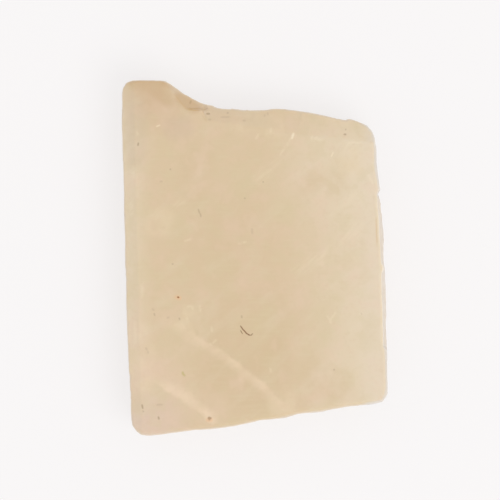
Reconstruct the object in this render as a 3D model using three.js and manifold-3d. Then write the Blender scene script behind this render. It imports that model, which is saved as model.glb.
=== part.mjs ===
// A slab of rough moonstone: one solid piece of feldspar with a sawn front and back face and
// broken sides, lying on its back face. Millimetres, +Z up. The origin is at the middle of the
// stone's footprint, on the back face.
import * as THREE from 'three';
import { LoftGeometry } from 'three/addons/geometries/LoftGeometry.js';
import { ImprovedNoise } from 'three/addons/math/ImprovedNoise.js';
import { mergeVertices } from 'three/addons/utils/BufferGeometryUtils.js';
import Module from 'manifold-3d';

// Driving dimensions, in millimetres
const WIDTH = 28.1; // across the slab, along X
const LENGTH = 37.6; // along the slab, along Y
const THICKNESS = 6.0; // between the two sawn faces, along Z
const ARRIS = 0.3; // rounding of the edges between the sawn faces and the broken sides
const HOLLOW_DEPTH = 0.5; // how far the hollows of a broken side go in
const HOLLOW_SPACING = 4.5; // from one hollow to the next

// Cleavage ledges that run round the broken sides: how high up the side each one is, from 0 to 1,
// and how deep it is in millimetres.
const LEDGES = [
  { height: 0.24, depth: 0.26 },
  { height: 0.48, depth: 0.2 },
  { height: 0.73, depth: 0.24 },
];
const LEDGE_RISE = 0.16; // height of the slope from the face under a ledge to the one over it
const LEDGE_SPACING = 6; // along a side, from where a ledge shows to where it has faded
const LEDGE_WANDER = 0.12; // how far a ledge strays up and down, as a share of the thickness
const LEDGE_SHOWS = [-0.3, 0.2]; // the noise at which a ledge starts to show, and is whole
const RIGHT_LEDGES = [-0.62, -0.46, 0.24, 0.44]; // y where those on the right start, are whole, fade, end
const RIGHT_DEPTH = 0.3; // how deep those on the right are, as a share of the others
const RIGHT_FACING = [0.5, 0.95]; // how far towards +X the skin faces on the right side

// Levels at which the noise is read, so that no two uses of it follow each other
const NOISE_LEVELS = { stray: 0.4, strength: 9.7, hollow: 20 };

// Fineness
const OUTLINE_STEP = 0.7; // longest chord along the outline
const ARRIS_STEPS = 2;
const CHIP_DETAIL = 3;
const MERGE = 1e-4; // points closer than this are one
const REACH = 30; // past the stone from any point on it

const COLOUR = 0xdcc5a3;
const ROUGHNESS = 0.45;

// A place on the stone: x and y run from -1 to 1 across its width and length, and z runs from
// 0 on the back face to 1 on the front face.
function place(x, y, z) {
  return new THREE.Vector3((x * WIDTH) / 2, (y * LENGTH) / 2, z * THICKNESS);
}

// The outline, anticlockwise as seen from the front
const BOTTOM_SIDE = [
  [-0.8, -1.0], [-0.592, -0.983], [-0.411, -0.966], [-0.291, -0.957], [-0.17, -0.949],
  [-0.034, -0.928], [0.162, -0.905], [0.253, -0.894], [0.321, -0.877], [0.494, -0.86],
  [0.645, -0.841], [0.902, -0.812],
];
const BOTTOM_RIGHT_CORNER = [[0.96, -0.803], [0.986, -0.79], [0.998, -0.76]];
const RIGHT_SIDE = [
  [0.998, -0.629], [0.99, -0.461], [0.985, -0.236], [0.975, -0.067], [0.97, 0.101],
  [0.958, 0.242], [0.951, 0.345], [0.939, 0.41], [0.917, 0.522], [0.914, 0.618],
];
const TOP_RIGHT_CORNER = [[0.896, 0.695], [0.855, 0.735], [0.8, 0.758]];
const TOP_SIDE = [
  [0.735, 0.775], [0.691, 0.781], [0.645, 0.777], [0.57, 0.79], [0.472, 0.807], [0.343, 0.825],
  [0.29, 0.829], [0.16, 0.837], [0.05, 0.836], [-0.034, 0.835], [-0.085, 0.838],
  [-0.147, 0.844], [-0.215, 0.841], [-0.262, 0.847], [-0.3, 0.857], [-0.345, 0.86],
];
const NOTCH = [[-0.385, 0.866], [-0.472, 0.898], [-0.562, 0.941], [-0.638, 0.98]];
const LOBE = [[-0.69, 0.996], [-0.789, 1.0], [-0.902, 0.998]];
const TOP_LEFT_CORNER = [[-0.958, 0.987], [-0.988, 0.955], [-0.997, 0.904]];
const LEFT_SIDE = [
  [-1.0, 0.747], [-0.989, 0.522], [-0.976, 0.101], [-0.959, -0.348], [-0.933, -0.798],
  [-0.928, -0.89],
];
const BOTTOM_LEFT_CORNER = [[-0.915, -0.945], [-0.88, -0.982], [-0.845, -0.997]];
const OUTLINE = [
  ...BOTTOM_SIDE, ...BOTTOM_RIGHT_CORNER, ...RIGHT_SIDE, ...TOP_RIGHT_CORNER, ...TOP_SIDE,
  ...NOTCH, ...LOBE, ...TOP_LEFT_CORNER, ...LEFT_SIDE, ...BOTTOM_LEFT_CORNER,
];

// Flakes gone from the sides. Each left a flat scar that starts on the line from..to, at height
// z, and falls away outwards by `fall` degrees. The line runs anticlockwise like the outline, and
// `flare` is how many degrees each end of the scar opens outwards. A scar runs out over the side
// unless its `reach`, in millimetres, is given.
const FRONT_FLAKES = [
  // the wide, gentle shoulder along the top side
  { from: [0.95, 0.633], to: [0.2, 0.702], z: 1, fall: 15, flare: [20, 0] },
  { from: [0.33, 0.693], to: [-0.36, 0.769], z: 1, fall: 17, flare: [0, 30] },
  // the scar in the notch
  { from: [-0.521, 0.834], to: [-0.69, 0.992], z: 1, fall: 22, flare: [41, 10], reach: 1.9 },
  // the worn left arris
  { from: [-0.907, 1.05], to: [-0.842, -1.05], z: 1, fall: 15, flare: [0, 0] },
  // ledges on the right side
  { from: [0.953, -0.03], to: [0.923, 0.36], z: 0.44, fall: 62, flare: [60, 55] },
  { from: [0.97, -0.5], to: [0.954, -0.09], z: 0.62, fall: 66, flare: [50, 65] },
];
const BACK_FLAKES = [
  { from: [-0.62, -0.955], to: [0.02, -0.893], z: 0.36, fall: 40, flare: [62, 35] },
  { from: [0.42, -0.838], to: [0.8, -0.8], z: 0.5, fall: 58, flare: [40, 65] },
  { from: [0.66, 0.745], to: [0.2, 0.8], z: 0.42, fall: 45, flare: [60, 50] },
  { from: [-0.42, 0.85], to: [-0.6, 0.93], z: 0.55, fall: 62, flare: [50, 50] },
  { from: [-0.965, 0.6], to: [-0.948, 0.1], z: 0.4, fall: 50, flare: [62, 45] },
  { from: [-0.935, -0.4], to: [-0.915, -0.72], z: 0.62, fall: 64, flare: [55, 60] },
];

// Shell-shaped chips out of the arrises: the middle of each, how far it reaches along the edge,
// into the stone and up, in millimetres, and the way the edge runs, in degrees from +X.
const CHIPS = [
  { at: [-0.23, 0.845, 0.9], size: [0.9, 0.12, 0.9], heading: 175 },
  { at: [0.66, 0.782, 0.92], size: [0.7, 0.15, 0.8], heading: 165 },
  { at: [0.05, -0.92, 1], size: [0.8, 0.14, 0.7], heading: 8 },
  { at: [0.545, -0.856, 1], size: [0.6, 0.13, 0.6], heading: 8 },
  { at: [-0.46, -0.974, 0.98], size: [0.8, 0.13, 0.8], heading: 8 },
  { at: [-0.72, -1.0, 0], size: [2.1, 0.7, 1.1], heading: 4 },
  { at: [0.26, -0.89, 0], size: [1.6, 0.8, 0.8], heading: 8 },
  { at: [0.88, 0.71, 0], size: [1.7, 0.7, 1.5], heading: 135 },
  { at: [-0.82, 1.0, 0], size: [1.6, 0.8, 1.3], heading: 180 },
  { at: [-0.99, 0.3, 0], size: [1.7, 0.9, 0.9], heading: 90 },
  { at: [0.99, -0.38, 0], size: [1.4, 0.5, 1.0], heading: 90 },
];

const wasm = await Module();
wasm.setup();
const { Manifold, Mesh: ManifoldMesh } = wasm;

function solidOf(geometry) {
  const bare = new THREE.BufferGeometry();
  bare.setAttribute('position', geometry.getAttribute('position'));
  bare.setIndex(geometry.index);
  const merged = mergeVertices(bare, MERGE);
  const vertProperties = merged.attributes.position.array;
  const triVerts = new Uint32Array(merged.index.array);
  return new Manifold(new ManifoldMesh({ numProp: 3, vertProperties, triVerts }));
}

function geometryOf(solid) {
  const { vertProperties, triVerts } = solid.getMesh();
  const indexed = new THREE.BufferGeometry();
  indexed.setAttribute('position', new THREE.BufferAttribute(vertProperties, 3));
  indexed.setIndex(new THREE.BufferAttribute(triVerts, 1));
  const geometry = indexed.toNonIndexed();
  geometry.computeVertexNormals();
  return geometry;
}

// Evenly spaced points round the outline, each with the direction that faces out of the stone
function outlineStations() {
  const corners = OUTLINE.map(([x, y]) => place(x, y, 0));
  const curve = new THREE.CatmullRomCurve3(corners, true, 'centripetal');
  const count = Math.ceil(curve.getLength() / OUTLINE_STEP);
  const points = curve.getSpacedPoints(count).slice(0, -1);
  return points.map((point, i) => {
    const before = points[(i + count - 1) % count];
    const after = points[(i + 1) % count];
    const out = new THREE.Vector3(after.y - before.y, before.x - after.x, 0).normalize();
    return { point, out };
  });
}

// The heights of the skin's rows, from the back face to the front face, and how far the rounding
// of the arrises draws each row in. Each ledge has a row above it and one below it.
function skinRows(ledges) {
  const arris = Array.from({ length: ARRIS_STEPS }, (_, i) => {
    const angle = (i / ARRIS_STEPS) * (Math.PI / 2);
    return { inset: ARRIS * (1 - Math.sin(angle)), z: ARRIS * (1 - Math.cos(angle)) };
  });
  const upperArris = arris.map(({ inset, z }) => ({ inset, z: THICKNESS - z })).reverse();
  const side = [ARRIS];
  for (const { z } of ledges) {
    side.push((side.at(-1) + z) / 2, z - LEDGE_RISE / 2, z + LEDGE_RISE / 2);
  }
  side.push((side.at(-1) + THICKNESS - ARRIS) / 2, THICKNESS - ARRIS);
  return [...arris, ...side.map((z) => ({ inset: 0, z })), ...upperArris];
}

// The skin of the stone from back to front at one station of the outline. The ledges step in
// towards the front on the right side, and towards the back on the other sides.
function skin({ point, out }, noise) {
  const wave = (spacing, level) => noise.noise(point.x / spacing, point.y / spacing, level);
  const ledges = LEDGES.map(({ height, depth }, i) => {
    const stray = LEDGE_WANDER * wave(LEDGE_SPACING, i + NOISE_LEVELS.stray);
    const showing = wave(LEDGE_SPACING, i + NOISE_LEVELS.strength);
    const strength = THREE.MathUtils.smoothstep(showing, ...LEDGE_SHOWS);
    return { z: (height + stray) * THICKNESS, depth: depth * strength };
  });
  const [start, whole, fade, end] = RIGHT_LEDGES.map((y) => place(0, y, 0).y);
  const onRight = THREE.MathUtils.smoothstep(out.x, ...RIGHT_FACING);
  const rise = THREE.MathUtils.smoothstep(point.y, start, whole);
  const frontward = onRight * rise * (1 - THREE.MathUtils.smoothstep(point.y, fade, end));
  const stepIn = (z) => ledges.reduce((sum, ledge) => {
    const share = z > ledge.z ? RIGHT_DEPTH * frontward : 1 - frontward;
    return sum + share * ledge.depth;
  }, 0);
  const hollow = (z) => {
    const share = z / THICKNESS;
    const bow = 4 * share * (1 - share);
    return HOLLOW_DEPTH * bow * wave(HOLLOW_SPACING, NOISE_LEVELS.hollow + share) ** 2;
  };
  return skinRows(ledges).map(({ inset, z }) => {
    const depth = inset + stepIn(z) + hollow(z);
    return point.clone().addScaledVector(out, -depth).setZ(z);
  });
}

// The slab before its larger flakes and chips broke off
function slab() {
  const noise = new ImprovedNoise();
  const skins = outlineStations().map((station) => skin(station, noise));
  const sections = skins[0].map((_, row) => skins.map((points) => points[row]));
  return solidOf(new LoftGeometry(sections, { capStart: true, capEnd: true }));
}

// The space that a flake took: a prism over its scar, open towards the front (facing = 1) or the
// back (facing = -1)
function flake({ from, to, z, fall, flare, reach = REACH }, facing) {
  const start = place(...from, z);
  const end = place(...to, z);
  const along = end.clone().sub(start).normalize();
  const out = new THREE.Vector3(along.y, -along.x, 0);
  const drop = facing * Math.tan(THREE.MathUtils.degToRad(fall));
  const farCorner = (corner, opening) => {
    const spread = Math.tan(THREE.MathUtils.degToRad(opening));
    const step = out.clone().addScaledVector(along, spread).setZ(-drop);
    return corner.clone().addScaledVector(step, reach);
  };
  const scar = [start, farCorner(start, -flare[0]), farCorner(end, flare[1]), end];
  const open = scar.map((corner) => corner.clone().setZ(facing * 4 * REACH));
  const sections = facing > 0 ? [scar, open] : [open, scar];
  return solidOf(new LoftGeometry(sections, { capStart: true, capEnd: true }));
}

function chip({ at, size, heading }) {
  const geometry = new THREE.IcosahedronGeometry(1, CHIP_DETAIL);
  geometry.scale(...size);
  geometry.rotateZ(THREE.MathUtils.degToRad(heading));
  geometry.translate(...place(...at).toArray());
  return solidOf(geometry);
}

function moonstone() {
  const gone = [
    ...FRONT_FLAKES.map((scar) => flake(scar, 1)),
    ...BACK_FLAKES.map((scar) => flake(scar, -1)),
    ...CHIPS.map((hollow) => chip(hollow)),
  ];
  const stone = gone.reduce((solid, piece) => solid.subtract(piece), slab());
  const material = new THREE.MeshStandardMaterial({ color: COLOUR, roughness: ROUGHNESS });
  const mesh = new THREE.Mesh(geometryOf(stone), material);
  mesh.name = 'moonstone';
  return mesh;
}

const part = new THREE.Group();
part.add(moonstone());

export default part;
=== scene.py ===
import math

import bmesh
import bpy
import numpy as np
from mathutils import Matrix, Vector, noise
from mathutils.bvhtree import BVHTree


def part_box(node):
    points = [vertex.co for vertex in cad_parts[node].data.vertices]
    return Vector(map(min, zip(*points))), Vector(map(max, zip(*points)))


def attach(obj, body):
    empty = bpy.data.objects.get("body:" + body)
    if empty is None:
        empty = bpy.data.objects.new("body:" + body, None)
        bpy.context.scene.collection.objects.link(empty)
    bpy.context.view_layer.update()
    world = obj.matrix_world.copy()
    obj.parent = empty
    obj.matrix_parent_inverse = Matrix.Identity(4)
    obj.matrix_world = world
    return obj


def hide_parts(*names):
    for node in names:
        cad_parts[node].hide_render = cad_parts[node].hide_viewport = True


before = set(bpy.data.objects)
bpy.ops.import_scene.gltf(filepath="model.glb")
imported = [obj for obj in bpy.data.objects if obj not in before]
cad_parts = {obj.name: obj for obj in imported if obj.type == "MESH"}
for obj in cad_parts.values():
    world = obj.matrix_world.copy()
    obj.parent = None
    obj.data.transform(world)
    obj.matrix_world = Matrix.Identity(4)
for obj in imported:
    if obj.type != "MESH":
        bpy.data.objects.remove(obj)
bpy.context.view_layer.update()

# A slab of rough moonstone lying on its sawn back face, seen from above its sawn front face.
# Shapes are worked out in millimetres and written in metres; the shader works in millimetres.

MM = 0.001
LOW, HIGH = (Vector(corner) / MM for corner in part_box("moonstone"))
HALF_WIDTH = (HIGH.x - LOW.x) / 2
HALF_LENGTH = (HIGH.y - LOW.y) / 2
THICKNESS = HIGH.z - LOW.z


def place(x, y, z=1.0):
    """A place on the stone in mm: x and y from -1 to 1 across it, z from 0, back, to 1, front."""
    return Vector((x * HALF_WIDTH, y * HALF_LENGTH, z * THICKNESS))


# ---------------------------------------------------------------------------------- the camera

VIEW_CENTRE = place(-0.031, 0.0445)
VIEW_WIDTH = 52.72  # mm across the picture at the front face
VIEW_DISTANCE = 300.0
VIEW_TILT = math.radians(3.0)  # towards +X, so that the right side just shows
VIEW_NEAR, VIEW_FAR = 10.0, 10000.0
SENSOR = 36.0


def look_down():
    """The camera, almost straight above the front face."""
    camera = bpy.data.objects.new("camera", bpy.data.cameras.new("camera"))
    camera.data.sensor_width = SENSOR
    camera.data.lens = SENSOR * VIEW_DISTANCE / VIEW_WIDTH
    camera.data.clip_start = VIEW_NEAR * MM
    camera.data.clip_end = VIEW_FAR * MM
    camera.rotation_euler = (0, VIEW_TILT, 0)
    back = Vector((math.sin(VIEW_TILT), 0, math.cos(VIEW_TILT)))
    camera.location = (VIEW_CENTRE + back * VIEW_DISTANCE) * MM
    bpy.context.collection.objects.link(camera)
    bpy.context.scene.camera = camera


# -------------------------------------------------------------------------------- the marks on it

# Marks in the front face: the shares where each one lies, its bearing in degrees, anticlockwise
# from +X, and its length in mm.
PITS = [
    (-0.873, 0.639, 80, 0.45), (0.681, 0.692, 0, 0.34), (-0.841, -0.836, -78, 0.62),
    (-0.347, 0.810, -4, 0.5), (-0.718, -0.900, -75, 0.42),
]
SPECKS = [
    (-0.630, 0.498, 0, 0.22), (0.687, 0.720, 0, 0.2), (0.068, 0.426, 30, 0.22),
    (-0.070, 0.335, 0, 0.2), (-0.835, -0.862, -70, 0.24), (-0.480, 0.876, 70, 0.5),
    (-0.093, -0.330, -80, 0.4), (-0.415, 0.262, -72, 0.7), (-0.402, 0.240, -80, 0.5),
    (0.600, -0.626, 0, 0.22), (-0.75, -0.318, -70, 0.4), (-0.562, -0.342, -70, 0.35),
    (-0.613, -0.034, 0, 0.25), (-0.200, 0.815, 0, 0.24),
]
SCRATCHES = [
    (-0.70, 0.43, 0, 0.4), (-0.335, 0.777, 0, 0.4), (-0.22, 0.791, 0, 1.2),
    (-0.076, 0.771, 0, 0.4), (0.10, 0.81, -80, 0.4), (0.078, 0.80, 90, 0.35),
    (-0.015, 0.15, 95, 0.8), (-0.76, -0.29, -40, 0.4), (-0.647, -0.335, 5, 0.4),
    (-0.810, -0.512, -60, 0.5), (-0.798, -0.530, -80, 0.4), (-0.711, -0.825, 0, 0.9),
]
FIBRES = [(-0.091, -0.394, -56, 0.80), (-0.069, -0.413, -48, 0.80), (-0.049, -0.427, -30, 0.62)]
FIBRE_ENDS = [
    (-0.031, -0.433, -4, 0.50), (-0.017, -0.429, 45, 0.36), (-0.095, -0.416, -60, 0.58),
]
RUST_SPOTS = [(-0.571, -0.221, -20, 0.3)]
BROWN_SPOTS = [(-0.338, -0.903, -50, 0.42), (-0.333, -0.898, -25, 0.5)]
RUSTY_HALOS = [(-0.572, -0.223, -20, 0.9), (-0.336, -0.908, 0, 0.9)]
OLIVE_SPOTS = [(-0.537, -0.646, -75, 0.4), (-0.530, -0.655, -50, 0.5)]
BRUISES = [(0.290, 0.684, 73, 0.9)]
GLINTS = [(0.586, 0.580, 65, 0.7), (-0.723, 0.742, 22, 0.6)]
FEATHERS = [
    (0.254, 0.643, 67, 1.6), (0.215, 0.600, 60, 1.4), (0.022, 0.680, 60, 0.9),
    (0.125, 0.716, 75, 0.7), (0.433, 0.674, 75, 0.6), (0.464, 0.673, 35, 0.6),
    (-0.878, 0.700, -75, 0.6), (0.870, 0.446, -61, 1.6), (0.880, 0.430, -58, 0.9),
    (-0.505, -0.330, -78, 0.9), (-0.320, -0.400, -80, 0.8), (0.557, -0.335, -50, 0.7),
    (0.592, -0.325, 55, 1.2), (0.572, -0.355, -80, 0.7),
    (0.123, -0.625, -86, 0.8), (-0.490, -0.272, 13, 0.6), (-0.465, -0.280, -57, 0.6),
    (-0.406, -0.284, -83, 0.9), (-0.300, -0.470, 40, 0.9), (-0.325, -0.485, -60, 0.5),
    (0.752, 0.645, 0, 1.8), (0.480, 0.664, -8, 1.2), (-0.50, 0.10, 20, 1.0),
    (-0.09, 0.085, 15, 1.2),
]
ARRIS_STREAKS = [
    (-0.911, 0.48, 90, 2.2), (-0.925, 0.28, 91, 1.9), (-0.841, -0.19, 88, 1.8),
    (-0.900, -0.43, 88, 3.4),
]
SILKY_STREAKS = [
    (0.065, 0.465, 36, 3.0), (0.204, 0.575, 54, 4.0), (0.298, 0.673, 55, 2.0),
    (0.738, 0.625, 13, 2.6), (0.760, 0.320, 43, 4.0),
    (0.610, 0.235, 45, 2.4), (0.395, -0.036, 21, 4.4), (0.630, 0.080, 45, 5.0),
    (0.724, 0.130, 52, 4.0), (0.516, -0.006, 8, 5.4), (-0.584, 0.266, 38, 4.2),
]
AMBER_SEAMS = [(0.918, 0.150, 92, 3.6)]
LEDGE_SHADES = [(-0.43, 0.833, -1, 2.9), (-0.380, 0.803, 113, 1.9)]
# The notch's scar and the top of the lobe beside it: their own darker, yellower colour, with painted
# shade over it.
SCARS_AND_SHADE = [(-0.700, 0.916, -38, 4.0), (-0.505, 0.872, -33, 3.8), (-0.80, 0.98, 0, 5.0)]
WARM_PLACES = [
    (0.50, 0.41, 10, 7.0), (-0.45, 0.48, 80, 8.0), (0.53, -0.67, -30, 7.0), (0.11, -0.55, 15, 6.0),
    (-0.30, -0.66, 40, 5.0), (-0.03, -0.77, 0, 5.0), (-0.34, -0.39, 30, 5.0),
]
PALE_PLACES = [
    (-0.04, 0.76, 3, 4.5), (0.12, 0.745, -6, 4.0), (-0.52, -0.35, -30, 3.6), (-0.84, -0.62, 86, 7.0),
    (0.22, -0.82, 10, 4.0), (0.73, 0.53, 40, 4.0), (-0.71, 0.20, 70, 4.0), (-0.89, -0.44, 88, 4.0),
]
# Painted shade over the upper left lobe.
LOBE_SHADE_PLACES = [(-0.89, 0.70, 90, 9.0), (-0.57, 0.73, 10, 4.0)]

# Each kind of mark with its width in mm.
MARKS = {
    "pit": (PITS, 0.28),
    "speck": (SPECKS, 0.26),
    "scratch": (SCRATCHES, 0.3),
    "fibre": (FIBRES, 0.17),
    "fibre_end": (FIBRE_ENDS, 0.15),
    "rust": (RUST_SPOTS, 0.24),
    "rusty_halo": (RUSTY_HALOS, 0.7),
    "brown": (BROWN_SPOTS, 0.34),
    "olive": (OLIVE_SPOTS, 0.36),
    "bruise": (BRUISES, 0.36),
    "glint": (GLINTS, 0.24),
    "feather": (FEATHERS, 0.36),
    "ledge_shade": (LEDGE_SHADES, 0.5),
    "arris_streak": (ARRIS_STREAKS, 0.5),
    "silky_streak": (SILKY_STREAKS, 2.2),
    "amber": (AMBER_SEAMS, 0.24),
    "scar_and_shade": (SCARS_AND_SHADE, 2.0),
    "warm": (WARM_PLACES, 5.0),
    "pale": (PALE_PLACES, 4.0),
    "lobe_shade": (LOBE_SHADE_PLACES, 3.6),
}


# ------------------------------------------------------------------------------- the stone's mesh

# The mesh itself.
WELD_GAP = 0.001  # mm
GRAIN = 0.135  # mm between the mesh's points while its surface is worked
KEPT_FACES = 0.55  # of the worked mesh, in the finished one
SOFTENING = 1  # rounds of smoothing that take the sharpness off the arrises
ARRIS_SPREAD = 8  # rounds of smoothing that tell an arris from a face
RIDGE_SPREAD = 4  # and that tell a ridge from a hollow
DOWN = Vector((0, 0, -1))

# Each kind of noise in the surface: how far apart its lumps are along X, Y and Z, in mm, and how
# many octaves it has.
NOISES = {
    "waves": ((7.0, 7.0, 7.0), 1),
    "ripples": ((1.6, 1.6, 1.6), 1),
    "cleavage": ((2.6, 2.6, 0.8), 1),
    "hackle": ((0.7, 0.7, 0.4), 2),
    "nicks": ((0.9, 0.9, 0.9), 1),
    "marks": ((0.9, 0.9, 0.9), 1),
}
NOISE_SHIFT = Vector((37.0, -11.0, 23.0))  # from one kind's place in the noise to the next one's
OCTAVE_FALL, OCTAVE_STEP = 0.9, 2.1  # how roughness falls off, and how much finer each octave is

# How deep the noise is worked into the faces and the broken sides, in mm.
WAVE_DEPTH = 0.035
RIPPLE_DEPTH = 0.010
CLEAVAGE_DEPTH = 0.07
CLEAVAGE_STEP = 0.3  # of the cleavage's noise, from one terrace to the next
TERRACE_FLAT = 0.6  # share of a terrace that is flat
CLEAVAGE_LEAN = np.array([[0.9, 0.1, 0.3], [-0.1, 0.95, 0.25], [-0.35, -0.2, 0.9]])
HACKLE_DEPTH = 0.018
ROUGH_LEAST = 0.4  # share of the cleavage and hackle that the top of a side has
ROUGH_DEPTHS = (0.1, 0.8)  # mm below the front, from there to where it has all of them
NICK_DEPTH = 0.05
NICK_NOISE = (0.15, 0.5)  # the noise at which a nick starts, and is whole

# The dishes in the broken sides.
DISH_SEED = 5
DISHES = 260
DISH_HEIGHTS = (0.05, 0.85)  # of a dish's middle, as a share of the thickness
DISH_TILT = 0.18
DISH_BOWLS = (1.4, 4.6)  # these to the power of BOWL_POWER are the bowls' radii in mm
BOWL_POWER = 1.6
DISH_DEPTHS = (0.05, 0.3)  # mm
DISH_DEEPEST = 1.2  # furthest that a point is pushed in, as a share of the dish's depth
DISH_WHOLE, DISH_END = 1.1, 1.6  # where a dish starts to fade and ends, as shares of its rim
SIDE_SPARE = 0.16  # mm put on the sides before the dishes take it off again
SPARE_LEAST = 0.3  # share of it that goes on where the sides yield least
YIELD_LEAST = 0.08  # how far the arris with the front yields to dishes
YIELD_DEPTHS = (0.2, 1.3)  # mm below the front, from there to where a side yields fully
RIGHT_CALM = 0.3  # how much of a dish the straight right side takes
RIGHT_FACING = 0.7  # how far towards +X a dish on the right side faces
RIGHT_FACINGS = (0.5, 0.8)  # and a point, from where it is partly on that side to wholly
ARRIS_REACH = 0.4  # mm in from a side to where the front that lies above it is read
SIDE_FACING = 0.3  # how far outwards a point on a side faces

# What tells the parts of the surface apart.
SIDE_LEANS = (0.25, 0.7)  # how far a normal is from upright, where a side starts and is whole
ARRIS_BULGES = (0.015, 0.09)  # mm proud of its surroundings, where an arris starts and is whole
GROOVE_BULGES = (-0.02, -0.08)  # and where a groove starts to be filled, and is filled

# How the small marks lie on the mesh.
FINE_WIDTH = 0.45  # mm, the widest of the marks round which the mesh is made finer
FINENESS = 0.45  # longest edge there, as a share of the mark's width
MARK_MARGINS = (0.35, 0.18, 0.06)  # mm round a mark where edges are halved, in turn
MARK_CORE = 0.3  # share of a mark's half width that is at its full strength
MARKS_LOW = 0.55  # share of the thickness that no mark reaches below, and
MARKS_HIGH = 0.85  # above which they are whole
MARKS_STRAY = 0.9  # mm that the lower edge of a mark strays up and down


def modified(mesh, kind, **settings):
    """The mesh with one modifier applied. The old mesh is removed."""
    holder = bpy.data.objects.new("holder", mesh)
    bpy.context.collection.objects.link(holder)
    modifier = holder.modifiers.new(kind, kind)
    for name, value in settings.items():
        setattr(modifier, name, value)
    depsgraph = bpy.context.evaluated_depsgraph_get()
    result = bpy.data.meshes.new_from_object(holder.evaluated_get(depsgraph))
    bpy.data.objects.remove(holder)
    bpy.data.meshes.remove(mesh)
    return result


def read_points(mesh):
    flat = np.empty(len(mesh.vertices) * 3)
    mesh.vertices.foreach_get("co", flat)
    return flat.reshape(-1, 3)


def write_points(mesh, points):
    mesh.vertices.foreach_set("co", points.ravel())
    mesh.update()


def read_normals(mesh):
    flat = np.empty(len(mesh.vertices) * 3)
    mesh.vertices.foreach_get("normal", flat)
    return flat.reshape(-1, 3)


def read_edges(mesh):
    flat = np.empty(len(mesh.edges) * 2, dtype=np.int32)
    mesh.edges.foreach_get("vertices", flat)
    return flat.reshape(-1, 2)


def average(values, edges):
    """Each point's value averaged with its neighbours'."""
    total = values.copy()
    count = np.ones(len(values))
    for here, there in ((0, 1), (1, 0)):
        np.add.at(total, edges[:, here], values[edges[:, there]])
        np.add.at(count, edges[:, here], 1)
    return total / count.reshape((-1,) + (1,) * (values.ndim - 1))


def ramp(values, start, end):
    """Smoothly from 0 where values are at start to 1 where they are at end."""
    share = np.clip((values - start) / (end - start), 0, 1)
    return share * share * (3 - 2 * share)


def at_least(least, share):
    """From `least` where a share is 0 to 1 where it is 1."""
    return least + (1 - least) * share


def field(points, kind):
    """One kind of noise, from about -1 to 1."""
    spacing, octaves = NOISES[kind]
    offset = NOISE_SHIFT * list(NOISES).index(kind)
    places = [Vector(p) + offset for p in points / np.asarray(spacing)]
    if octaves == 1:
        return np.array([noise.noise(p) for p in places])
    return np.array([noise.fractal(p, OCTAVE_FALL, OCTAVE_STEP, octaves) for p in places])


def terraces(values, step):
    """Values gathered into steps with short slopes between them."""
    level = np.floor(values / step)
    return (level + ramp(values / step - level, TERRACE_FLAT, 1.0)) * step


def paint(mesh, name, values):
    """Keeps one number for each point of the mesh, for the stone's finish to read."""
    layer = mesh.attributes.new(name, "FLOAT", "POINT")
    layer.data.foreach_set("value", np.asarray(values, dtype=np.float32))


def below_front(points, normals, surface):
    """How far each point lies below the stone's front, in mm. On a side, the front is read a
    little way in from it."""
    below = np.where(points[:, 2] < THICKNESS / 2, THICKNESS, 0.0)
    for i in np.flatnonzero(np.hypot(normals[:, 0], normals[:, 1]) > SIDE_FACING):
        inward = -Vector((normals[i, 0], normals[i, 1], 0)).normalized()
        above = Vector(points[i]) + inward * ARRIS_REACH
        above.z = 2 * THICKNESS  # clear of the stone
        front = surface.ray_cast(above, DOWN)[0]
        below[i] = front.z - points[i, 2] if front else 0
    return below


def dish_sides(points, yielding, surface):
    """Breaks the sides into shallow dishes, nearly flat or scooped, that meet in ridges, as far
    as each point is yielding, from 0 to 1."""
    chance = np.random.default_rng(DISH_SEED)
    for _ in range(DISHES):
        angle = chance.uniform(0, 2 * math.pi)
        height = chance.uniform(*DISH_HEIGHTS)
        tilt = Vector(chance.normal(0, DISH_TILT, 3))
        bowl = chance.uniform(*DISH_BOWLS) ** BOWL_POWER
        depth = chance.uniform(*DISH_DEPTHS)
        outside = place(1.5 * math.cos(angle), 1.5 * math.sin(angle), height)  # clear of the stone
        inward = Vector((-outside.x, -outside.y, 0)).normalized()
        spot, normal, _, _ = surface.ray_cast(outside, inward)
        if normal.x > RIGHT_FACING:
            depth *= RIGHT_CALM
            tilt *= RIGHT_CALM
        outward = (normal * Vector((1, 1, 0.5)) + tilt).normalized()
        centre = np.array(spot + outward * (bowl - depth))
        rim = math.sqrt(2 * bowl * depth)
        gap = np.linalg.norm(points - spot, axis=1)
        near = np.flatnonzero(gap < DISH_END * rim)
        offset = points[near] - centre
        reach = np.linalg.norm(offset, axis=1)
        push = np.clip(bowl - reach, 0, DISH_DEEPEST * depth)
        push *= ramp(gap[near], DISH_END * rim, DISH_WHOLE * rim) * yielding[near]
        points[near] += offset * (push / reach)[:, None]
    return points


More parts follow.
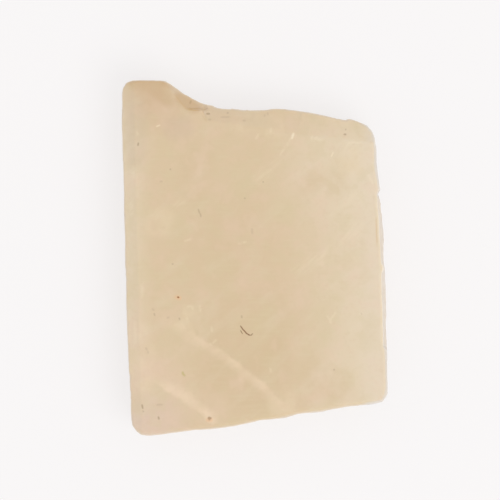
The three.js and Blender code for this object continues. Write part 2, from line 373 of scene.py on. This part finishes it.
def weather(mesh, surface):
    """Works the faint waves, cleavage steps, dishes and nicked arrises into the mesh."""
    edges = read_edges(mesh)
    points = read_points(mesh)
    normals = read_normals(mesh)
    below = below_front(points, normals, surface)
    yielding = at_least(YIELD_LEAST, ramp(below, *YIELD_DEPTHS))
    spare = SIDE_SPARE * at_least(SPARE_LEAST, yielding)
    spare *= 1 - (1 - RIGHT_CALM) * ramp(normals[:, 0], *RIGHT_FACINGS)
    points += normals * (1, 1, 0) * spare[:, None]
    write_points(mesh, dish_sides(points, yielding, surface))
    points = read_points(mesh)
    normals = read_normals(mesh)

    soft = points
    for _ in range(ARRIS_SPREAD):
        soft = average(soft, edges)
    bulge = np.einsum("ij,ij->i", points - soft, normals)
    points += (soft - points) * ramp(bulge, *GROOVE_BULGES)[:, None]
    arris = ramp(bulge, *ARRIS_BULGES)
    side = ramp(1 - np.abs(normals[:, 2]), *SIDE_LEANS)

    waves = WAVE_DEPTH * field(points, "waves") + RIPPLE_DEPTH * field(points, "ripples")
    steps = terraces(field(points @ CLEAVAGE_LEAN, "cleavage"), CLEAVAGE_STEP)
    broken = np.abs(CLEAVAGE_DEPTH * steps) + HACKLE_DEPTH * field(points, "hackle")
    nicks = ramp(field(points, "nicks"), *NICK_NOISE)

    depth = (1 - side) * np.abs(waves)
    depth += side * broken * at_least(ROUGH_LEAST, ramp(below, *ROUGH_DEPTHS))
    depth += NICK_DEPTH * arris * nicks
    points = points - normals * depth[:, None]
    write_points(mesh, points)

    soft = points
    for _ in range(RIDGE_SPREAD):
        soft = average(soft, edges)
    paint(mesh, "ridge", np.einsum("ij,ij->i", points - soft, read_normals(mesh)))


def stretched(points, marks, width, margin=0.0):
    """How strongly each point lies in a mark: 1 along its middle and 0 at its edge, or at the
    margin, in mm, beyond it."""
    cover = np.zeros(len(points))
    for x, y, bearing, length in marks:
        turn = math.radians(bearing)
        offset = points[:, :2] - np.array(place(x, y).xy)
        along = offset @ (math.cos(turn), math.sin(turn)) / (length / 2 + margin)
        across = offset @ (-math.sin(turn), math.cos(turn)) / (width / 2 + margin)
        cover = np.maximum(cover, ramp(np.hypot(along * along, across), 1.0, MARK_CORE))
    return cover * (points[:, 2] > MARKS_LOW * THICKNESS)


def refine(mesh, margin):
    """Halves the edges that are too long for the small marks, in and within a margin of them."""
    points = read_points(mesh)
    longest = np.full(len(points), np.inf)
    for marks, width in MARKS.values():
        if width < FINE_WIDTH:
            near = stretched(points, marks, width, margin) > 0
            longest[near] = np.minimum(longest[near], FINENESS * width)
    work = bmesh.new()
    work.from_mesh(mesh)
    chosen = [
        edge for edge in work.edges
        if edge.calc_length() > min(longest[corner.index] for corner in edge.verts)
    ]
    bmesh.ops.subdivide_edges(work, edges=chosen, cuts=1)
    bmesh.ops.triangulate(
        work, faces=work.faces, quad_method="SHORT_EDGE", ngon_method="EAR_CLIP",
    )
    work.to_mesh(mesh)
    work.free()


def mark_front(mesh):
    """Makes the mesh finer where there are small marks, and paints every kind of mark on it."""
    for margin in MARK_MARGINS:
        refine(mesh, margin)
    points = read_points(mesh)
    height = points[:, 2] / THICKNESS + MARKS_STRAY / THICKNESS * field(points, "marks")
    reach = ramp(height, MARKS_LOW, MARKS_HIGH)
    for name, (marks, width) in MARKS.items():
        paint(mesh, name, reach * stretched(points, marks, width))


def moonstone_slab():
    """The stone: the solid's own surface, meshed evenly, weathered and marked."""
    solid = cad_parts["moonstone"].data
    points = [vertex.co / MM for vertex in solid.vertices]
    faces = [tuple(face.vertices) for face in solid.polygons]
    surface = BVHTree.FromPolygons(points, faces)
    mesh = bpy.data.meshes.new("moonstone_slab")
    mesh.from_pydata(points, [], faces)
    mesh = modified(mesh, "WELD", merge_threshold=WELD_GAP)
    mesh = modified(mesh, "REMESH", mode="VOXEL", voxel_size=GRAIN)
    edges = read_edges(mesh)
    fitted = np.array([surface.find_nearest(Vector(p))[0] for p in read_points(mesh)])
    for _ in range(SOFTENING):
        fitted = average(fitted, edges)
    write_points(mesh, fitted)
    weather(mesh, surface)
    mesh = modified(mesh, "DECIMATE", ratio=KEPT_FACES)
    mesh = modified(mesh, "TRIANGULATE", quad_method="SHORTEST_DIAGONAL")
    mark_front(mesh)
    write_points(mesh, np.clip(read_points(mesh), LOW, HIGH) * MM)
    mesh.shade_smooth()
    mesh.name = "moonstone_slab"
    mesh.materials.append(milky_moonstone())
    slab = bpy.data.objects.new("moonstone_slab", mesh)
    bpy.context.collection.objects.link(slab)
    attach(slab, "root")
    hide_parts("moonstone")


# ------------------------------------------------------------------------------ shader arithmetic

MIX_FACTOR, MIX_UNDER, MIX_OVER, MIX_RESULT = 0, 6, 7, 2  # a Mix node's sockets for colours


class Wire:
    """A socket in a material's nodes. Arithmetic on it adds Math nodes."""

    def __init__(self, tree, socket=None):
        self.tree = tree
        self.socket = socket

    def node(self, kind, settings, sockets, output=0):
        """Adds a node: its settings are set first, then each socket's value or link."""
        made = self.tree.nodes.new(kind)
        for name, value in settings.items():
            setattr(made, name, value)
        for name, value in sockets.items():
            if isinstance(value, Wire):
                self.tree.links.new(value.socket, made.inputs[name])
            else:
                made.inputs[name].default_value = value
        return Wire(self.tree, made.outputs[output])

    def math(self, operation, *values):
        return self.node("ShaderNodeMath", {"operation": operation}, dict(enumerate(values)))

    def vector(self, operation, *values, output="Vector"):
        settings = {"operation": operation}
        return self.node("ShaderNodeVectorMath", settings, dict(enumerate(values)), output)

    def axis(self, name):
        """One of a vector's three numbers, X, Y or Z."""
        return self.node("ShaderNodeSeparateXYZ", {}, {"Vector": self}, name)

    def smooth(self, start, end):
        """Smoothly from 0 where this is at start to 1 where it is at end."""
        settings = {"interpolation_type": "SMOOTHSTEP"}
        sockets = {"Value": self, "From Min": start, "From Max": end}
        return self.node("ShaderNodeMapRange", settings, sockets)

    def blend(self, under, over):
        """A colour: under where this mask is 0, over where it is 1."""
        sockets = {MIX_FACTOR: self, MIX_UNDER: under, MIX_OVER: over}
        return self.node("ShaderNodeMix", {"data_type": "RGBA"}, sockets, MIX_RESULT)

    def __add__(self, other):
        return self.math("ADD", self, other)

    def __sub__(self, other):
        return self.math("SUBTRACT", self, other)

    def __rsub__(self, other):
        return self.math("SUBTRACT", other, self)

    def __mul__(self, other):
        return self.math("MULTIPLY", self, other)

    def __truediv__(self, other):
        return self.math("DIVIDE", self, other)

    def __abs__(self):
        return self.math("ABSOLUTE", self)

    __radd__ = __add__
    __rmul__ = __mul__


def srgb(red, green, blue):
    """A colour from its usual 0 to 255 numbers."""
    shares = (channel / 255 for channel in (red, green, blue))
    linear = (s / 12.92 if s <= 0.04045 else ((s + 0.055) / 1.055) ** 2.4 for s in shares)
    return (*linear, 1.0)


# ------------------------------------------------------------------------------ the stone's finish

CREAM = srgb(221, 199, 165)
HONEY = srgb(214, 189, 152)
IVORY = srgb(231, 217, 191)
ROSE = srgb(231, 205, 181)
BONE = srgb(226, 215, 201)
MOSS = srgb(217, 201, 162)
CLOUD = srgb(243, 221, 194)
SILK = srgb(238, 223, 195)
CHALK = srgb(246, 232, 206)
AMBER = srgb(214, 182, 126)
RUST = srgb(150, 84, 28)
TAN = srgb(207, 178, 138)
CARAMEL = srgb(208, 174, 124)
TAWNY = srgb(192, 152, 104)
SHADE_MAUVE = srgb(200, 177, 152)
OLIVE = srgb(196, 180, 112)
UMBER = srgb(126, 78, 38)
NUT = srgb(150, 110, 74)
ORANGE = srgb(236, 190, 138)
DUSK = srgb(148, 114, 70)
TOP_LEFT_SHADE = srgb(205, 172, 134)
LILAC = srgb(219, 197, 182)
SHOULDER_LIGHT = srgb(233, 209, 169)
RIM_GLOW = srgb(234, 220, 205)
MIST = srgb(212, 210, 206)
ARRIS_SHADE = srgb(211, 195, 177)

# Marks that are one plain colour, in the order in which they lie on one another, and how strong
# each is.
PLAIN_MARKS = [
    ("glint", 0.55, CHALK),
    ("amber", 0.4, AMBER),
    ("scratch", 0.16, DUSK),
    ("rusty_halo", 0.4, ORANGE),
    ("speck", 0.3, DUSK),
    ("pit", 0.5, DUSK),
    ("fibre_end", 0.7, UMBER),
    ("fibre", 1.0, UMBER),
    ("rust", 1.0, RUST),
    ("brown", 0.6, NUT),
    ("olive", 0.65, OLIVE),
]

# Each veil: the two places between which it meets the front face, how far it bows between them,
# how far it fades to its upper right and to its lower left, in mm, and how strong it is.
VEILS = [
    ((-0.783, -0.265), (0.287, -0.87), 0.5, 0.5, 1.1, 0.45),
    ((-0.86, -0.64), (-0.26, -0.925), 0.0, 1.2, 0.45, 0.6),
]
VEIL_DIP = 0.35  # how steeply they dip into the stone
BOW_SCALE = 27 / 4  # brings the top of share * share * (1 - share) to 1

STONE_IOR = 1.52
MILKINESS = 0.4  # share of the light that goes into the stone and comes out again, and
MILK_REACH = 0.5  # mm, how far from where it went in
RELIEF_DEPTH = 0.05  # mm
RELIEF_STRENGTH = 0.4


def stone_noise(mm, spacing, detail):
    """Noise from 0 to 1 whose lumps are about `spacing` mm apart."""
    return mm.node("ShaderNodeTexNoise", {}, {"Vector": mm, "Scale": 1 / spacing, "Detail": detail})


def turned(mm, bearing, stretch):
    """Places in which lumps of noise lie along a bearing, `stretch` times as long as wide."""
    sockets = {"Vector": mm, "Rotation": (0, 0, math.radians(bearing)), "Scale": (stretch, 1, 1)}
    return mm.node("ShaderNodeMapping", {"vector_type": "TEXTURE"}, sockets)


def painted(board, name):
    """The number that the mesh keeps under a name."""
    return board.node("ShaderNodeAttribute", {"attribute_name": name}, {}, "Fac")


def patch(flat, x, y, inner, outer):
    """A soft round patch: 1 within `inner` mm of a place on the front, 0 beyond `outer`."""
    return flat.vector("DISTANCE", flat, place(x, y, 0), output="Value").smooth(outer, inner)


def veil(mm, wander, start, end, bow, above, below):
    """A cloudy sheet inside the stone, which dips into it. It meets the front face along a line
    that bows most beyond its middle, and fades over `above` mm to its upper right and over
    `below` mm to its lower left."""
    first, last = place(*start), place(*end)
    run = last - first
    across = Vector((run.y, -run.x, 0)).normalized()
    across.z = VEIL_DIP
    offset = mm.vector("SUBTRACT", mm, first)
    share = mm.vector("DOT_PRODUCT", offset, run / run.length_squared, output="Value")
    depth = mm.vector("DOT_PRODUCT", offset, across, output="Value")
    depth = depth + share * share * (1 - share) * (BOW_SCALE * bow) + wander
    lit = depth.smooth(-above, 0) * depth.smooth(below, 0)
    return lit * share.smooth(0.0, 0.5) * share.smooth(1.0, 0.9)


def milky_moonstone():
    """The stone's finish. Each layer covers the ones before it as far as its mask goes."""
    material = bpy.data.materials.new("milky_moonstone")
    material.use_nodes = True
    tree = material.node_tree
    shader = tree.nodes["Principled BSDF"]
    board = Wire(tree)
    metres = board.node("ShaderNodeTexCoord", {}, {}, "Object")
    mm = metres.vector("MULTIPLY", metres, (1 / MM, 1 / MM, 1 / MM))
    flat = mm.vector("MULTIPLY", mm, (1, 1, 0))
    x = mm.axis("X") / HALF_WIDTH
    y = mm.axis("Y") / HALF_LENGTH
    upright = abs(board.node("ShaderNodeNewGeometry", {}, {}, "Normal").axis("Z"))

    clouds = stone_noise(mm, 4.5, 3)
    patches = stone_noise(mm, 1.7, 2)
    silk = stone_noise(turned(mm, 44, 6), 0.35, 3)
    wisps = stone_noise(turned(mm, 38, 3), 1.6, 2)
    flecks = stone_noise(mm, 0.45, 3)
    saw_lines = stone_noise(turned(mm, 0, 10), 0.35, 2)
    wander = (stone_noise(mm, 2.4, 2) - 0.5) * 0.9 + (patches - 0.5) * 0.9 + (flecks - 0.5) * 0.5
    streaky = 0.45 + 0.55 * wisps.smooth(0.32, 0.58)

    ledge_shade = painted(board, "ledge_shade")
    scar_and_shade = painted(board, "scar_and_shade") * upright.smooth(0.45, 0.8)
    ridge = painted(board, "ridge")
    broken = upright.smooth(0.95, 0.6) * (1 - ledge_shade)
    arris = upright.smooth(0.985, 0.9) * upright.smooth(0.2, 0.6) * (1 - ledge_shade)
    right_end = x.smooth(0.8, 0.87)
    far_ends = y.smooth(0.3, 0.42) + y.smooth(-0.45, -0.56)

    layers = [
        # broad changes of colour, among them painted glow and painted shade
        (patch(flat, 0.02, -0.5, 2, 10) * 0.5, HONEY),
        (patch(flat, -0.2, 0.05, 1, 8) * 0.3, HONEY),
        # painted glow: the right half and the left edge paler, as where light comes through the thin
        # edges
        (x.smooth(0.1, 0.95) * 0.75, IVORY),
        (x.smooth(-0.72, -0.98) * 0.7, IVORY),
        (patch(flat, -0.88, -0.72, 1.5, 7.5) * 0.5, ROSE),
        (patch(flat, -0.80, -0.97, 1, 6) * 0.5, LILAC),
        (patch(flat, 0.55, -1.0, 1.5, 8) * 0.35, HONEY),
        # painted light: the shoulder facets along the top made paler, against the shade they get
        # from the key light
        (upright.smooth(0.99, 0.96) * x.smooth(-0.1, 0.25) * 0.3, SHOULDER_LIGHT),
        (patch(flat, 0.6, 0.5, 2, 9) * 0.35, IVORY),
        # painted shade, brownish, over the top of the upper left lobe
        (patch(flat, -0.75, 1.0, 0.5, 7.0) * 0.55, TOP_LEFT_SHADE),
        # clouds and patches
        (clouds.smooth(0.48, 0.66) * 0.35, MOSS),
        (clouds.smooth(0.48, 0.32) * 0.25, ROSE),
        (patches.smooth(0.48, 0.62) * 0.25, MOSS),
        (patches.smooth(0.46, 0.32) * 0.2, ROSE),
        (painted(board, "warm") * patches.smooth(0.3, 0.6) * 0.3, HONEY),
        (painted(board, "pale") * patches.smooth(0.3, 0.6) * 0.25, CLOUD),
        # painted shade over the upper left lobe
        (painted(board, "lobe_shade") * (0.5 + patches) * 0.24, SHADE_MAUVE),
        (wisps.smooth(0.5, 0.75) * 0.2, IVORY),
        (saw_lines.smooth(0.45, 0.7) * patches.smooth(0.4, 0.6) * 0.1, IVORY),
        (flecks.smooth(0.5, 0.3) * 0.12, HONEY),
        # the broken sides, the notch and the arrises, with painted shade and painted highlights
        (broken * (0.5 + 0.4 * clouds.smooth(0.35, 0.6)), BONE),
        # paler ridges and darker hollows on the sides: chalky wear and stain, with painted highlight
        # on the ridges and painted shade in the hollows
        (ridge.smooth(0.01, 0.04) * broken * 0.5, CHALK),
        (ridge.smooth(-0.01, -0.05) * broken * 0.3, TAN),
        # the notch's scar: its own yellower colour, with painted shade of faces turned from the
        # light
        (scar_and_shade * 0.55, TAN),
        (scar_and_shade * upright.smooth(0.985, 0.94) * 0.7, CARAMEL),
        (ledge_shade * 0.14, TAWNY),
        # painted shade along the arris, where the edge turns away from the light
        (arris * x.smooth(0.87, 0.8) * 0.35, ARRIS_SHADE),
        # painted highlight along the right arris
        (arris * right_end * 0.25, RIM_GLOW),
        (upright.smooth(0.995, 0.93) * right_end * far_ends * 0.45, MIST),
        # painted glow on the front near the right side
        (upright.smooth(0.95, 0.99) * x.smooth(0.74, 0.9) * 0.2, RIM_GLOW),
    ]
    layers += [(veil(mm, wander, *sheet) * streaky * strength, CLOUD) for *sheet, strength in VEILS]
    silken = silk.smooth(0.3, 0.75) * wisps.smooth(0.3, 0.6)
    layers += [
        (painted(board, "silky_streak") * silken * 0.22, CHALK),
        (painted(board, "arris_streak") * silk.smooth(0.3, 0.5) * 0.35, SILK),
        (painted(board, "feather") * flecks.smooth(0.25, 0.5) * 0.22, CHALK),
        (painted(board, "bruise") * flecks.smooth(0.2, 0.4) * 0.8, CHALK),
    ]
    layers += [(painted(board, name) * strength, colour) for name, strength, colour in PLAIN_MARKS]
    base = CREAM
    for mask, colour in layers:
        base = mask.blend(base, colour)

    relief = stone_noise(mm, 0.3, 4) * broken + saw_lines * 0.15
    sockets = {"Height": relief, "Strength": RELIEF_STRENGTH, "Distance": RELIEF_DEPTH * MM}
    bump = board.node("ShaderNodeBump", {}, sockets)
    rough = 0.5 + patches * 0.12 - broken * 0.2
    tree.links.new(base.socket, shader.inputs["Base Color"])
    tree.links.new(rough.socket, shader.inputs["Roughness"])
    tree.links.new(bump.socket, shader.inputs["Normal"])
    shader.inputs["IOR"].default_value = STONE_IOR
    shader.inputs["Subsurface Weight"].default_value = MILKINESS
    shader.inputs["Subsurface Radius"].default_value = (1.0, 1.0, 1.0)
    shader.inputs["Subsurface Scale"].default_value = MILK_REACH * MM
    return material


# ---------------------------------------------------------------------------------- the studio

# In metres and watts.
FLOOR_SIZE = 4.0
FLOOR_DROP = 0.02 * MM  # keeps the floor just clear of the stone's back face
WARM_WHITE = (1.0, 0.985, 0.985, 1.0)
FLOOR_GREY = (0.30, 0.295, 0.295, 1.0)
FLOOR_GLOW = 0.65
SKY_GLOW = 0.80
KEY_DIRECTION = (0.40, -0.35, 0.75)
KEY_DISTANCE = 0.9
KEY_SIZE = 0.6
KEY_WATTS = 2.2


def soft_light(name, direction, distance, size, watts):
    """A square soft light that faces the stone."""
    lamp = bpy.data.lights.new(name, "AREA")
    lamp.size = size
    lamp.energy = watts
    light = bpy.data.objects.new(name, lamp)
    towards = Vector(direction).normalized()
    light.location = towards * distance
    light.rotation_euler = towards.to_track_quat("Z", "Y").to_euler()
    bpy.context.collection.objects.link(light)


def pale_floor():
    """A dull grey that glows, so that it looks white and shows hardly any shadow."""
    floor = bpy.data.materials.new("pale_floor")
    floor.use_nodes = True
    shader = floor.node_tree.nodes["Principled BSDF"]
    shader.inputs["Base Color"].default_value = FLOOR_GREY
    shader.inputs["Roughness"].default_value = 0.9
    shader.inputs["Specular IOR Level"].default_value = 0.0
    shader.inputs["Emission Color"].default_value = WARM_WHITE
    shader.inputs["Emission Strength"].default_value = FLOOR_GLOW
    return floor


def studio():
    """The even white surroundings, one soft light and the floor."""
    scene = bpy.context.scene
    scene.view_settings.view_transform = "Standard"
    world = bpy.data.worlds.new("studio")
    scene.world = world
    world.use_nodes = True
    background = world.node_tree.nodes["Background"]
    background.inputs["Color"].default_value = WARM_WHITE
    background.inputs["Strength"].default_value = SKY_GLOW
    soft_light("key", KEY_DIRECTION, KEY_DISTANCE, KEY_SIZE, KEY_WATTS)
    bpy.ops.mesh.primitive_plane_add(size=FLOOR_SIZE, location=(0, 0, -FLOOR_DROP))
    floor = bpy.context.object
    floor.name = "floor"
    floor.data.materials.append(pale_floor())


look_down()
studio()
moonstone_slab()
